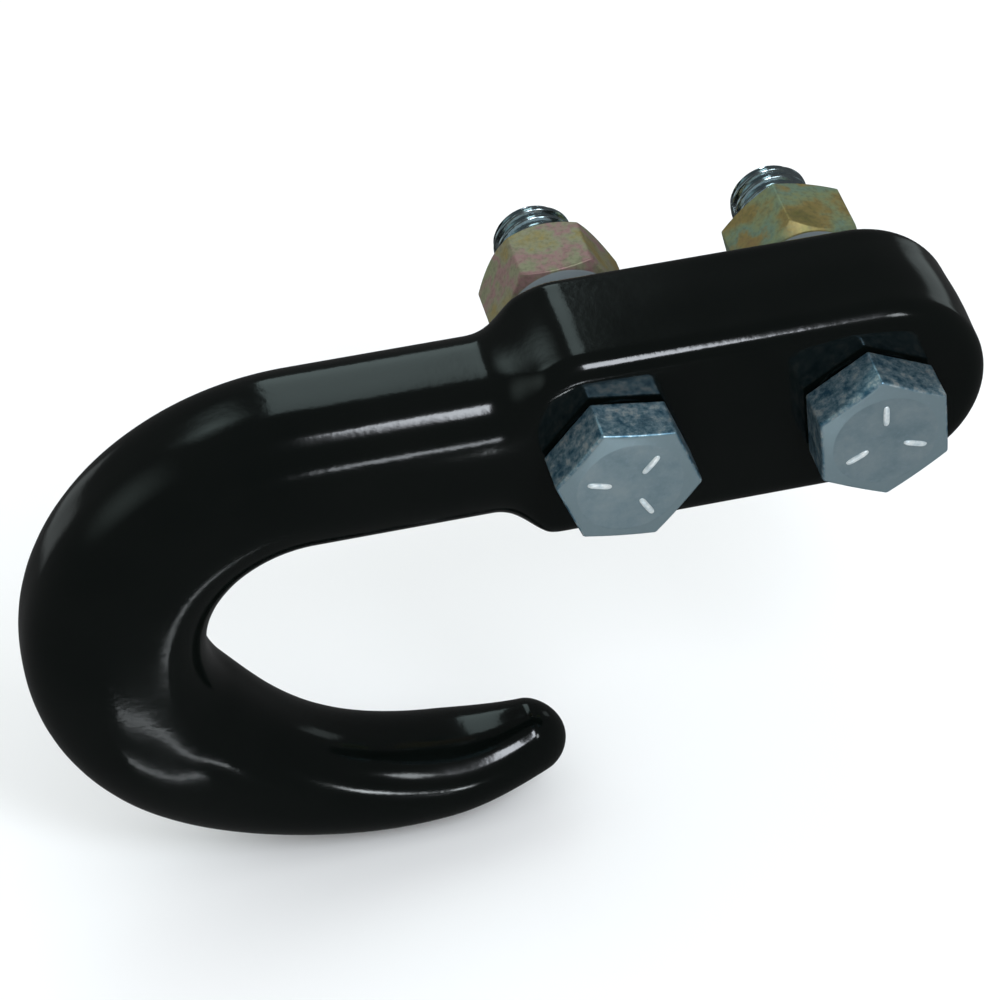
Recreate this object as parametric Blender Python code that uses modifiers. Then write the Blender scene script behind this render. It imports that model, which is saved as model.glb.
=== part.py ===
"""Bolt-on tow hook: a forged hook with a flat two-hole pad, two hex bolts and two lock nuts.

World frame: the origin is the middle of the pad's back face, which lies on the vehicle's frame rail.
+X runs along the pad to its free end, +Y follows the bolts from head to nut, +Z is up in the hook's plane.
"""

import math

import bmesh
import bpy
import numpy as np

MM = 0.001

# Pad: the flat, two-hole end of the forging.
BOLT_SPACING = 38.1 * MM
PAD_THICKNESS = 22.2 * MM
PAD_HEIGHT = 32.0 * MM
PAD_END_OVERHANG = 2.3 * MM  # from the outer bolt's axis to the centre of the pad's round end
PAD_EDGE_RADIUS = 3.0 * MM
BOLT_HOLE_CLEARANCE = 1.7 * MM  # of the hole's diameter over the bolt's

# Bar: the straight shank, the bow and the tapering jaw.
NECK_SETBACK = 4.0 * MM  # from the inner bolt's axis to where the pad starts to narrow
NECK_LENGTH = 14.0 * MM
SHANK_LENGTH = 26.4 * MM
SHANK_HEIGHT = 24.6 * MM
BAR_EDGE_RADIUS = 8.3 * MM
BOW_RADIUS = 30.8 * MM
BOW_ANGLE = math.radians(127.6)
BOW_HEIGHT = 27.6 * MM
JAW_RADIUS = 53.0 * MM
JAW_ANGLE = math.radians(75.5)
JAW_ROOT_HEIGHT = 26.4 * MM
JAW_MIDDLE_HEIGHT = 16.8 * MM
JAW_MIDDLE_DEPTH = 19.4 * MM
TIP_HEIGHT = 10.4 * MM
TIP_DEPTH = 8.8 * MM
TIP_LENGTH = 4.8 * MM  # of the rounded end

# Bolt: 1/2-13 hex cap screw, 2 in long.
PITCH = 25.4 / 13 * MM
THREAD_DIAMETER = 12.6 * MM
THREAD_HALF_ANGLE = math.radians(30)
THREAD_DEPTH = 0.65 * PITCH
BOLT_LENGTH = 50.8 * MM
THREAD_LENGTH = 31.75 * MM
POINT_CHAMFER = 1.2 * MM
ACROSS_FLATS = 19.05 * MM
HEAD_HEIGHT = 7.94 * MM
WASHER_FACE = 0.4 * MM
WASHER_FACE_RIM = 0.475 * MM  # from the flats in to the round face that bears on the pad
HEAD_TOP_RIM = 1.625 * MM  # from the flats in to the round flat on top of the head
HEAD_CORNER_DROP = 1.0 * MM

# Nut: all-metal top-lock hex nut, with a deep chamfer on its locking side.
NUT_HEIGHT = 11.8 * MM
NUT_FACE_RIM = 0.425 * MM  # from the flats in to the round faces at both ends
NUT_LOCK_CHAMFER = math.radians(45)
NUT_PLAIN_CHAMFER = math.radians(25)
NUT_COUNTERSINK_RIM = 0.5 * MM  # of the countersink's radius over the bolt's

# Fits.
TOUCH_GAP = 0.3 * MM  # between faces that bear on each other
THREAD_SIDE_GAP = 0.18 * MM  # along the axis, on each flank
THREAD_CREST_GAP = 0.3 * MM  # over the bolt's crest
THREAD_ROOT_GAP = 0.3 * PITCH  # between the bolt's root and the nut's bore

# Each bolted place: side of the pad, turn of the head, grip between pad and nut, turn of the nut, which
# way the nut's locking side faces.
BOLTED_PLACES = {
    "inner": dict(side=-1, head_turn=50.9, grip=8.8, nut_turn=4.2, lock_side_out=True),
    "outer": dict(side=1, head_turn=34.5, grip=8.0, nut_turn=43.7, lock_side_out=False),
}

# Worked out from the above.
END_CENTRE_X = BOLT_SPACING / 2 + PAD_END_OVERHANG
NECK_START_X = -BOLT_SPACING / 2 - NECK_SETBACK
BOW_START = NECK_LENGTH + SHANK_LENGTH
BOW_END = BOW_START + BOW_RADIUS * BOW_ANGLE
JAW_END = BOW_END + JAW_RADIUS * JAW_ANGLE
HEAD_BEARING = -PAD_THICKNESS - TOUCH_GAP
BOLT_POINT = HEAD_BEARING + BOLT_LENGTH
THREAD_START = BOLT_POINT - THREAD_LENGTH
CREST_RADIUS = THREAD_DIAMETER / 2
ROOT_RADIUS = CREST_RADIUS - THREAD_DEPTH
HEX_CORNER_RADIUS = ACROSS_FLATS / 2 / math.cos(math.pi / 6)

# Fineness of the facets.
CORNER_STEPS = 5
HOLE_SEGMENTS = 32
TURN_STEPS = 16
OVERSHOOT = 2.0 * MM  # by which a cutter passes the face it leaves by
BITE = 0.03 * MM  # by which the nut's groove cutter starts inside the middle of the bore's facets


def clear_scene():
    for obj in list(bpy.data.objects):
        bpy.data.objects.remove(obj, do_unlink=True)


def new_collection(name):
    collection = bpy.data.collections.new(name)
    bpy.context.scene.collection.children.link(collection)
    return collection


def new_material(name, colour, metallic, roughness):
    material = bpy.data.materials.new(name)
    material.use_nodes = True
    shader = material.node_tree.nodes["Principled BSDF"]
    shader.inputs["Base Color"].default_value = (*colour, 1.0)
    shader.inputs["Metallic"].default_value = metallic
    shader.inputs["Roughness"].default_value = roughness
    return material


def new_object(name, mesh, collection):
    obj = bpy.data.objects.new(name, mesh)
    collection.objects.link(obj)
    return obj


def as_cutter(obj):
    obj.hide_render = True
    obj.display_type = "WIRE"
    return obj


def boolean(obj, tool, operation):
    modifier = obj.modifiers.new(f"{operation.lower()} {tool.name}", "BOOLEAN")
    modifier.operation = operation
    modifier.solver = "EXACT"
    modifier.object = tool


def shade(obj, sharp_angle=32):
    obj.data.shade_smooth()
    obj.data.set_sharp_from_angle(angle=math.radians(sharp_angle))


def smoothstep(value):
    value = np.clip(value, 0.0, 1.0)
    return value * value * (3 - 2 * value)


def smooth_curve(knots, values, at):
    """A cubic through the values, with no overshoot: each slope is the harmonic mean of its two neighbours."""
    knots, values = np.asarray(knots), np.asarray(values)
    steps = np.diff(knots)
    rises = np.diff(values) / steps
    slopes = np.zeros(len(knots))
    same_way = rises[:-1] * rises[1:] > 0
    before, after = rises[:-1][same_way], rises[1:][same_way]
    slopes[1:-1][same_way] = 2 * before * after / (before + after)
    at = np.clip(at, knots[0], knots[-1])
    cell = np.clip(np.searchsorted(knots, at, side="right") - 1, 0, len(steps) - 1)
    step = steps[cell]
    part = (at - knots[cell]) / step
    square, cube = part**2, part**3
    return (
        (2 * cube - 3 * square + 1) * values[cell]
        + (cube - 2 * square + part) * step * slopes[cell]
        + (3 * square - 2 * cube) * values[cell + 1]
        + (cube - square) * step * slopes[cell + 1]
    )


# ---------------------------------------------------------------- the forged hook

def centreline(distance):
    """(x, z) and unit heading of the bar's centreline: straight along -X, then the bow's and the jaw's arcs."""
    distance = np.asarray(distance, float)
    straight = np.minimum(distance, BOW_START)
    bow = np.clip((distance - BOW_START) / BOW_RADIUS, 0, BOW_ANGLE)
    jaw = np.clip((distance - BOW_END) / JAW_RADIUS, 0, JAW_ANGLE)
    x = NECK_START_X - straight - BOW_RADIUS * np.sin(bow)
    z = -BOW_RADIUS * (1 - np.cos(bow))
    x -= JAW_RADIUS * (np.sin(bow + jaw) - np.sin(bow))
    z -= JAW_RADIUS * (np.cos(bow) - np.cos(bow + jaw))
    heading = np.stack([-np.cos(bow + jaw), -np.sin(bow + jaw)], -1)
    return np.stack([x, z], -1), heading


def bar_sizes(distance):
    """Half height, half depth and edge radius of the bar's section, from the neck to the jaw's end."""
    bow_back = BOW_START + 0.65 * (BOW_END - BOW_START)
    jaw_middle = (BOW_END + JAW_END) / 2
    knots = [NECK_LENGTH, BOW_START, bow_back, BOW_END, jaw_middle, JAW_END]
    heights = [SHANK_HEIGHT, SHANK_HEIGHT, BOW_HEIGHT, JAW_ROOT_HEIGHT, JAW_MIDDLE_HEIGHT, TIP_HEIGHT]
    depths = [PAD_THICKNESS] * 4 + [JAW_MIDDLE_DEPTH, TIP_DEPTH]
    height = smooth_curve(knots, heights, distance)
    neck = smoothstep(np.asarray(distance) / NECK_LENGTH)
    height = PAD_HEIGHT + (height - PAD_HEIGHT) * neck
    depth = smooth_curve(knots, depths, distance)
    radius = PAD_EDGE_RADIUS + (BAR_EDGE_RADIUS - PAD_EDGE_RADIUS) * neck
    return height / 2, depth / 2, np.minimum(radius, 0.97 * np.minimum(height, depth) / 2)


def section(half_height, half_depth, radius):
    """Rounded rectangle as (height, depth) points, with one point on each flat at mid height."""
    rows = []
    for corner, (side_h, side_d) in enumerate([(1, 1), (-1, 1), (-1, -1), (1, -1)]):
        angles = np.linspace(0, math.pi / 2, CORNER_STEPS + 1) + corner * math.pi / 2
        centre = np.array([side_h * (half_height - radius), side_d * (half_depth - radius)])
        rows.append(centre + radius * np.stack([np.cos(angles), np.sin(angles)], -1))
        if corner in (0, 2):
            rows.append(np.array([[0.0, side_d * half_depth]]))
    return np.concatenate(rows)


def pad_end_rings():
    """The pad's section folded round the end's centre, from flat shut to square across the pad."""
    height, depth = section(PAD_HEIGHT / 2, PAD_THICKNESS / 2, PAD_EDGE_RADIUS).T
    for angle in np.linspace(0, math.pi / 2, 11):
        x = END_CENTRE_X + np.abs(height) * math.cos(angle)
        yield np.stack([x, depth - PAD_THICKNESS / 2, height * math.sin(angle)], -1)


def bar_rings():
    """The bar's sections, square across its centreline, from the neck to the jaw's rounded tip."""
    distances = np.concatenate(
        [
            np.linspace(0, NECK_LENGTH, 9),
            np.linspace(NECK_LENGTH, BOW_START, 3)[1:],
            np.linspace(BOW_START, BOW_END, 16)[1:],
            np.linspace(BOW_END, JAW_END - TIP_LENGTH, 11)[1:],
        ]
    )
    scales = np.ones(len(distances))
    tip = np.linspace(math.pi / 2, math.radians(12), 6)[1:]
    distances = np.concatenate([distances, JAW_END - TIP_LENGTH * (1 - np.cos(tip))])
    scales = np.concatenate([scales, np.sin(tip)])
    centres, headings = centreline(distances)
    for centre, heading, sizes, scale in zip(centres, headings, np.transpose(bar_sizes(distances)), scales):
        height, depth = section(*(sizes * scale)).T
        across = np.array([heading[1], -heading[0]])
        x, z = (centre + height[:, None] * across).T
        yield np.stack([x, depth - PAD_THICKNESS / 2, z], -1)


def make_hook(parts, cutters):
    rings = np.array([*pad_end_rings(), *bar_rings()])
    count, around = rings.shape[:2]
    corners = np.arange(count * around).reshape(count, around)
    following = np.roll(corners, -1, axis=1)
    sides = np.stack([corners[:-1], following[:-1], following[1:], corners[1:]], -1).reshape(-1, 4)
    mesh = bpy.data.meshes.new("hook_forging")
    mesh.from_pydata(rings.reshape(-1, 3).tolist(), [], [*sides.tolist(), corners[-1].tolist()])
    form = bmesh.new()
    form.from_mesh(mesh)
    bmesh.ops.remove_doubles(form, verts=form.verts, dist=0.001 * MM)
    bmesh.ops.recalc_face_normals(form, faces=form.faces)
    form.to_mesh(mesh)
    form.free()
    hook = new_object("hook_forging", mesh, parts)
    for place, spec in BOLTED_PLACES.items():
        bpy.ops.mesh.primitive_cylinder_add(
            vertices=HOLE_SEGMENTS,
            radius=CREST_RADIUS + BOLT_HOLE_CLEARANCE / 2,
            depth=PAD_THICKNESS + 2 * OVERSHOOT,
            location=(spec["side"] * BOLT_SPACING / 2, -PAD_THICKNESS / 2, 0),
            rotation=(math.pi / 2, math.pi / HOLE_SEGMENTS, 0),
        )
        hole = bpy.context.object
        hole.name = f"{place}_bolt_hole"
        move_to(hole, cutters)
        boolean(hook, as_cutter(hole), "DIFFERENCE")
    shade(hook)
    return hook


# ---------------------------------------------------------------- bolts and nuts, made along +Z


def move_to(obj, collection):
    for old in list(obj.users_collection):
        old.objects.unlink(obj)
    collection.objects.link(obj)


def stand_along_y(obj, side):
    """Puts a piece made along +Z on its bolt's axis, with its own zero at the pad's back face."""
    obj.location = (side * BOLT_SPACING / 2, 0, 0)
    obj.rotation_euler = (-math.pi / 2, 0, 0)


def turned(name, profile, collection):
    """A profile of (radius, height) points, running down its outer side, turned about Z."""
    mesh = bpy.data.meshes.new(name)
    points = [(radius, 0, height) for radius, height in profile]
    mesh.from_pydata(points, [(i, i + 1) for i in range(len(points) - 1)], [])
    obj = new_object(name, mesh, collection)
    screw = obj.modifiers.new("turn", "SCREW")
    screw.steps = screw.render_steps = TURN_STEPS
    screw.use_merge_vertices = True
    screw.merge_threshold = 0.001 * MM
    return obj


def hex_prism(name, low, high, turn_degrees, collection):
    bpy.ops.mesh.primitive_cylinder_add(
        vertices=6, radius=HEX_CORNER_RADIUS, depth=high - low
    )
    obj = bpy.context.object
    obj.name = name
    # The primitive has a corner on its +Y axis; a turn in the XZ plane of the world is the other way here.
    place = np.array([[0, 0, (high + low) / 2]])
    angle = -math.radians(turn_degrees) - math.pi / 2
    turn = np.array(
        [[math.cos(angle), -math.sin(angle), 0], [math.sin(angle), math.cos(angle), 0], [0, 0, 1]]
    )
    points = np.empty(len(obj.data.vertices) * 3)
    obj.data.vertices.foreach_get("co", points)
    obj.data.vertices.foreach_set("co", (points.reshape(-1, 3) @ turn.T + place).ravel())
    move_to(obj, collection)
    return obj


def helical_cutter(name, profile, start, turns, collection):
    """A closed (radius, height) profile swept up a right-hand helix, with its two ends filled.

    It is at height start at angle 0, but its points lie half a step round from those of the turned
    pieces, so that no point of one falls on an edge of the other.
    """
    mesh = bpy.data.meshes.new(name)
    count = len(profile)
    half_step = math.pi / TURN_STEPS
    start += PITCH * half_step / (2 * math.pi)
    mesh.from_pydata(
        [(r * math.cos(half_step), r * math.sin(half_step), start + h) for r, h in profile],
        [(i, (i + 1) % count) for i in range(count)],
        [],
    )
    guide = new_object(f"{name}_guide", mesh, collection)
    screw = guide.modifiers.new("helix", "SCREW")
    screw.steps = screw.render_steps = TURN_STEPS
    screw.screw_offset = PITCH
    screw.iterations = turns
    graph = bpy.context.evaluated_depsgraph_get()
    swept = bpy.data.meshes.new_from_object(guide.evaluated_get(graph))
    bpy.data.objects.remove(guide, do_unlink=True)
    form = bmesh.new()
    form.from_mesh(swept)
    bmesh.ops.remove_doubles(form, verts=form.verts, dist=0.001 * MM)
    bmesh.ops.holes_fill(form, edges=[edge for edge in form.edges if edge.is_boundary])
    bmesh.ops.recalc_face_normals(form, faces=form.faces)
    form.to_mesh(swept)
    form.free()
    return new_object(name, swept, collection)


def groove_half_width(radius):
    return (radius - ROOT_RADIUS) * math.tan(THREAD_HALF_ANGLE)


def make_bolt(place, spec, parts, cutters):
    top = HEAD_BEARING - HEAD_HEIGHT
    bolt = hex_prism(
        f"{place}_bolt", top - OVERSHOOT, HEAD_BEARING - WASHER_FACE, spec["head_turn"], parts
    )
    flat_top = ACROSS_FLATS / 2 - HEAD_TOP_RIM
    washer_face = ACROSS_FLATS / 2 - WASHER_FACE_RIM
    slope = HEAD_CORNER_DROP / (HEX_CORNER_RADIUS - flat_top)
    wide = HEX_CORNER_RADIUS + OVERSHOOT
    dome = turned(
        f"{place}_head_chamfer",
        [
            (0, HEAD_BEARING + OVERSHOOT),
            (wide, HEAD_BEARING + OVERSHOOT),
            (wide, top + slope * (wide - flat_top)),
            (flat_top, top),
            (0, top),
        ],
        cutters,
    )
    shank = turned(
        f"{place}_shank",
        [
            (0, BOLT_POINT),
            (CREST_RADIUS - POINT_CHAMFER, BOLT_POINT),
            (CREST_RADIUS, BOLT_POINT - POINT_CHAMFER),
            (CREST_RADIUS, HEAD_BEARING),
            (washer_face, HEAD_BEARING),
            (washer_face, HEAD_BEARING - WASHER_FACE - HEAD_HEIGHT / 4),
            (0, HEAD_BEARING - WASHER_FACE - HEAD_HEIGHT / 4),
        ],
        cutters,
    )
    outer = CREST_RADIUS + 0.08 * PITCH
    width = groove_half_width(outer)
    groove = helical_cutter(
        f"{place}_thread_groove",
        [(ROOT_RADIUS, 0), (outer, width), (outer, -width)],
        THREAD_START,
        math.ceil(THREAD_LENGTH / PITCH) + 1,
        cutters,
    )
    for tool, operation in [(dome, "INTERSECT"), (shank, "UNION"), (groove, "DIFFERENCE")]:
        boolean(bolt, as_cutter(tool), operation)
        stand_along_y(tool, spec["side"])
    stand_along_y(bolt, spec["side"])
    shade(bolt)
    return bolt


def make_nut(place, spec, parts, cutters):
    low = spec["grip"] * MM
    high = low + NUT_HEIGHT
    nut = hex_prism(
        f"{place}_lock_nut", low - OVERSHOOT, high + OVERSHOOT, spec["nut_turn"], parts
    )
    out, back = NUT_LOCK_CHAMFER, NUT_PLAIN_CHAMFER
    if not spec["lock_side_out"]:
        out, back = back, out
    wide = HEX_CORNER_RADIUS + TOUCH_GAP
    face = ACROSS_FLATS / 2 - NUT_FACE_RIM
    chamfers = turned(
        f"{place}_nut_chamfers",
        [
            (0, high),
            (face, high),
            (wide, high - (wide - face) * math.tan(out)),
            (wide, low + (wide - face) * math.tan(back)),
            (face, low),
            (0, low),
        ],
        cutters,
    )
    bore, sink = ROOT_RADIUS + THREAD_ROOT_GAP, CREST_RADIUS + NUT_COUNTERSINK_RIM
    reach = sink + OVERSHOOT
    bore_tool = turned(
        f"{place}_nut_bore",
        [
            (0, high + OVERSHOOT),
            (reach, high + OVERSHOOT),
            (bore, high - (sink - bore)),
            (bore, low + (sink - bore)),
            (reach, low - OVERSHOOT),
            (0, low - OVERSHOOT),
        ],
        cutters,
    )
    # The cutter is the bolt's ridge, grown by the clearances, half a turn of pitch from the bolt's groove.
    outer = CREST_RADIUS + THREAD_CREST_GAP
    inner = bore * math.cos(math.pi / TURN_STEPS) - BITE

    def half(radius):
        return PITCH / 2 - groove_half_width(radius) + THREAD_SIDE_GAP

    turns_before = math.floor((low - OVERSHOOT - THREAD_START) / PITCH) - 1
    groove = helical_cutter(
        f"{place}_nut_groove",
        [(inner, -half(inner)), (inner, half(inner)), (outer, half(outer)), (outer, -half(outer))],
        THREAD_START + (turns_before + 0.5) * PITCH,
        math.ceil((NUT_HEIGHT + 2 * OVERSHOOT) / PITCH) + 2,
        cutters,
    )
    for tool, operation in [(chamfers, "INTERSECT"), (bore_tool, "DIFFERENCE"), (groove, "DIFFERENCE")]:
        boolean(nut, as_cutter(tool), operation)
        stand_along_y(tool, spec["side"])
    stand_along_y(nut, spec["side"])
    shade(nut)
    return nut


def main():
    clear_scene()
    parts = new_collection("tow_hook")
    cutters = new_collection("cutters")
    coat = new_material("black_coat", (0.012, 0.014, 0.014), 0.0, 0.22)
    zinc = new_material("clear_zinc", (0.55, 0.60, 0.64), 1.0, 0.35)
    yellow_zinc = new_material("yellow_zinc", (0.56, 0.50, 0.28), 1.0, 0.35)
    make_hook(parts, cutters).data.materials.append(coat)
    for place, spec in BOLTED_PLACES.items():
        make_bolt(place, spec, parts, cutters).data.materials.append(zinc)
        make_nut(place, spec, parts, cutters).data.materials.append(yellow_zinc)


main()
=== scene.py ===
# %% [markdown]
# # A bolt-on tow hook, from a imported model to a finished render
#
# The real thing is a forged steel hook dipped in gloss black, with two zinc plated hex bolts and two
# yellow zinc lock nuts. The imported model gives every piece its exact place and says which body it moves
# with. This lesson gives each piece a finer surface and a finish. Each surface is worked out with numpy
# as a function of two parameters, so its curves are true ones and any size in it can be read and changed.

import math

import bmesh
import bpy
import numpy as np
from mathutils import Euler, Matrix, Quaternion, Vector


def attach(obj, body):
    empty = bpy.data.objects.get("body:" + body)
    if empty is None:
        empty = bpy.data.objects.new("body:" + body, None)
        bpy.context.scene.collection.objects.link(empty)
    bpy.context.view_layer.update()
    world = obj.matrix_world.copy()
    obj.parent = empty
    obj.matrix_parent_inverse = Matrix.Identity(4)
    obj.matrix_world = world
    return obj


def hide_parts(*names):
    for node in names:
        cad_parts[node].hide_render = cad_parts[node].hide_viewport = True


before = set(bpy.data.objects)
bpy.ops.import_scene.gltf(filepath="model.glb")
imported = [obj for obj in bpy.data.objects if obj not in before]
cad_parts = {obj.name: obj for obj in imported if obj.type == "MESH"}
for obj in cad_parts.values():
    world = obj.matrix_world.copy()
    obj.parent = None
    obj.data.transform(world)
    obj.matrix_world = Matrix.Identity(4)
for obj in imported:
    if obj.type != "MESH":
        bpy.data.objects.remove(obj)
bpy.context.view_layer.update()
MM = 0.001

# %% [markdown]
# ## The camera
#
# The camera comes first, because everything else is judged through it. It stands in front of the pad, a
# little to the bow's side, and looks down at the hook with a long lens, so that the hook keeps its
# proportions. It leans over by two degrees, as a hand-held camera does.

# %% Stand the camera
HOOK_MIDDLE = Vector((-36, -11, -20)) * MM
CAMERA_PLACE = Vector((-112.8, -384.6, 334.9)) * MM
LOOK_AZIMUTH = math.radians(11.90)  # to the right of straight along +Y
LOOK_DOWN = math.radians(42.59)
LEAN = math.radians(-2.22)
LENS, SENSOR_WIDTH = 125.15, 36  # millimetres
NEAREST, FARTHEST = 0.05, 20  # metres

camera = bpy.data.objects.new("camera", bpy.data.cameras.new("camera"))
bpy.context.scene.collection.objects.link(camera)
camera.location = CAMERA_PLACE
level = Euler((math.pi / 2 - LOOK_DOWN, 0, -LOOK_AZIMUTH)).to_quaternion()
camera.rotation_mode = "QUATERNION"
camera.rotation_quaternion = level @ Quaternion((0, 0, 1), LEAN)
camera.data.lens, camera.data.sensor_width = LENS, SENSOR_WIDTH
camera.data.clip_start, camera.data.clip_end = NEAREST, FARTHEST
bpy.context.scene.camera = camera
print("camera distance:", round((CAMERA_PLACE - HOOK_MIDDLE).length, 3), "m")

# %% [markdown]
# ## Helpers: from grids of points to a closed mesh
#
# Every surface below is a grid: rows of points, each row a ring or a line. A grid becomes triangles by
# joining each point to its neighbours along the row and to the row after. Several grids that share their
# edges are then welded into one closed skin. Doing it with whole arrays keeps it fast, and counting how
# many triangles meet at each edge proves that the skin has no gap.


# %% Triangles of a grid
def grid_triangles(rows, columns, ring=True, closed=False):
    """Two triangles per cell. ring joins the last column to the first, and closed the last row."""
    corner = np.arange(rows * columns).reshape(rows, columns)
    if ring:
        corner = np.concatenate([corner, corner[:, :1]], axis=1)
    if closed:
        corner = np.concatenate([corner, corner[:1]], axis=0)
    a, b, c, d = corner[:-1, :-1], corner[:-1, 1:], corner[1:, 1:], corner[1:, :-1]
    halves = [np.stack([a, b, c], -1), np.stack([a, c, d], -1)]
    return np.concatenate([half.reshape(-1, 3) for half in halves])


print("4 rings of 6 points make", len(grid_triangles(4, 6)), "triangles")

# %% Weld, and measure a skin
WELD_DISTANCE = 2e-7


def weld(points, triangles):
    """Points in the same cube of the weld distance become one, and triangles that lose a corner go."""
    keys = np.round(points / WELD_DISTANCE).astype(np.int64)
    _, first, index = np.unique(keys, axis=0, return_index=True, return_inverse=True)
    triangles = index.reshape(-1)[triangles]
    a, b, c = triangles.T
    return points[first], triangles[(a != b) & (b != c) & (c != a)]


def open_edges(triangles):
    """How many edges don't have exactly two triangles."""
    ends = np.concatenate([triangles[:, [0, 1]], triangles[:, [1, 2]], triangles[:, [2, 0]]])
    return int((np.unique(np.sort(ends, axis=1), axis=0, return_counts=True)[1] != 2).sum())


def volume(points, triangles):
    """A sixth of the sum of a . (b x c) over the triangles: positive when they all face outwards."""
    a, b, c = (points[triangles[:, i]] for i in range(3))
    return float((a * np.cross(b, c)).sum() / 6)


# %% One piece from its grids
SHARP_ANGLE = math.radians(50)  # faces that meet at more than this keep a crisp edge


def make_piece(name, grids, body, node=None):
    """Welds (points, triangles) grids into one object that rides on a body and stands for a CAD node."""
    starts = np.cumsum([0] + [len(points) for points, _ in grids])
    points = np.concatenate([points.reshape(-1, 3) for points, _ in grids])
    triangles = np.concatenate([faces + start for (_, faces), start in zip(grids, starts)])
    points, triangles = weld(points, triangles)
    mesh = bpy.data.meshes.new(name)
    mesh.vertices.add(len(points))
    mesh.vertices.foreach_set("co", points.ravel())
    mesh.loops.add(triangles.size)
    mesh.loops.foreach_set("vertex_index", triangles.ravel())
    mesh.polygons.add(len(triangles))
    mesh.polygons.foreach_set("loop_start", np.arange(0, triangles.size, 3))
    mesh.update(calc_edges=True)
    skin = bmesh.new()
    skin.from_mesh(mesh)
    bmesh.ops.recalc_face_normals(skin, faces=skin.faces)
    skin.to_mesh(mesh)
    skin.free()
    mesh.shade_smooth()
    mesh.set_sharp_from_angle(angle=SHARP_ANGLE)
    piece = bpy.data.objects.new(name, mesh)
    bpy.context.scene.collection.objects.link(piece)
    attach(piece, body)
    if node:
        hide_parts(node)
    facing_out = np.array([face.vertices[:] for face in mesh.polygons])
    print(f"{name}: {len(triangles)} triangles, {open_edges(triangles)} open edges,"
          f" {volume(points, facing_out) / MM**3:.0f} mm3")
    return piece


# %% Easing, and a smooth curve through points
def smoothstep(value):
    """3v^2 - 2v^3 between 0 and 1: level at both ends."""
    value = np.clip(value, 0.0, 1.0)
    return value * value * (3 - 2 * value)


def smooth_curve(knots, values, at):
    """A cubic through the values with no overshoot: each slope is the harmonic mean of its neighbours."""
    knots, values = np.asarray(knots, float), np.asarray(values, float)
    steps = np.diff(knots)
    rises = np.diff(values) / steps
    slopes = np.zeros(len(knots))
    same_way = rises[:-1] * rises[1:] > 0
    before, after = rises[:-1][same_way], rises[1:][same_way]
    slopes[1:-1][same_way] = 2 * before * after / (before + after)
    at = np.clip(at, knots[0], knots[-1])
    cell = np.clip(np.searchsorted(knots, at, side="right") - 1, 0, len(steps) - 1)
    step = steps[cell]
    part = (at - knots[cell]) / step
    square, cube = part**2, part**3
    return (
        (2 * cube - 3 * square + 1) * values[cell]
        + (cube - 2 * square + part) * step * slopes[cell]
        + (3 * square - 2 * cube) * values[cell + 1]
        + (cube - square) * step * slopes[cell + 1]
    )


# %% [markdown]
# ## The hook's line
#
# The forging is one bar whose section changes as it goes: a flat pad, a neck, a straight shank, a bow
# that curls under, and a jaw that narrows to a blunt tip. Its middle line is a straight stretch and two
# arcs that meet without a kink: a tight one for the bow and a wider one for the jaw. Arcs are how a die
# for such a hook is drawn, and a section can be set square across them anywhere.

# %% Sizes of the pad and the bar, in metres
BOLT_SPACING = 38.1 * MM
PAD_THICKNESS = 22.2 * MM
PAD_HEIGHT = 32.8 * MM
PAD_RAISE = 0.35 * MM  # the pad's middle above the bolts' line
PAD_EDGE_RADIUS = 3.6 * MM
END_PAST_BOLT, NECK_PAST_BOLT = 2.3 * MM, 4.0 * MM
END_CENTRE_X = BOLT_SPACING / 2 + END_PAST_BOLT
NECK_START_X = -BOLT_SPACING / 2 - NECK_PAST_BOLT
NECK_LENGTH, SHANK_LENGTH = 14.0 * MM, 26.4 * MM
BOW_START = NECK_LENGTH + SHANK_LENGTH
BOW_RADIUS, BOW_ANGLE = 30.8 * MM, math.radians(127.6)
BOW_END = BOW_START + BOW_RADIUS * BOW_ANGLE
JAW_RADIUS, JAW_ANGLE = 53.0 * MM, math.radians(75.2)
JAW_END = BOW_END + JAW_RADIUS * JAW_ANGLE
BAR_EDGE_RADIUS = 8.3 * MM
TIP_LENGTH = 4.8 * MM
BAR_DROP = 0.35 * MM  # the bar's middle below the same line
LOW_NECK_START = 4.0 * MM
PAD_PART = 5.5 * MM  # how far past the neck's start the pad's own grids go, to clear the bolt hole
print("the bar is", round(JAW_END / MM, 1), "mm long along its middle")


# %% The middle line
def centreline(distance):
    """Straight along -X, then an arc of the bow's radius and one of the jaw's, as (x, z) and heading."""
    straight = np.minimum(distance, BOW_START)
    bow = np.clip((distance - BOW_START) / BOW_RADIUS, 0, BOW_ANGLE)
    jaw = np.clip((distance - BOW_END) / JAW_RADIUS, 0, JAW_ANGLE)
    turn = bow + jaw
    x = NECK_START_X - straight - BOW_RADIUS * np.sin(bow) - JAW_RADIUS * (np.sin(turn) - np.sin(bow))
    z = -BOW_RADIUS * (1 - np.cos(bow)) - JAW_RADIUS * (np.cos(bow) - np.cos(turn))
    return np.stack([x, z], -1), np.stack([-np.cos(turn), -np.sin(turn)], -1)


# %% [markdown]
# ## The bar's section
#
# A forged bar has no true flats. Its section is a superellipse, |h/H|^p + |d/D|^p = 1, which is an
# ellipse at p = 2 and comes close to a rounded rectangle at p = 4. The power falls from the shank to the
# tip, so the jaw ends up round like a finger. The pad is different: it was pressed flat, and its edges
# have a small even radius. The neck blends one section into the other.

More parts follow.
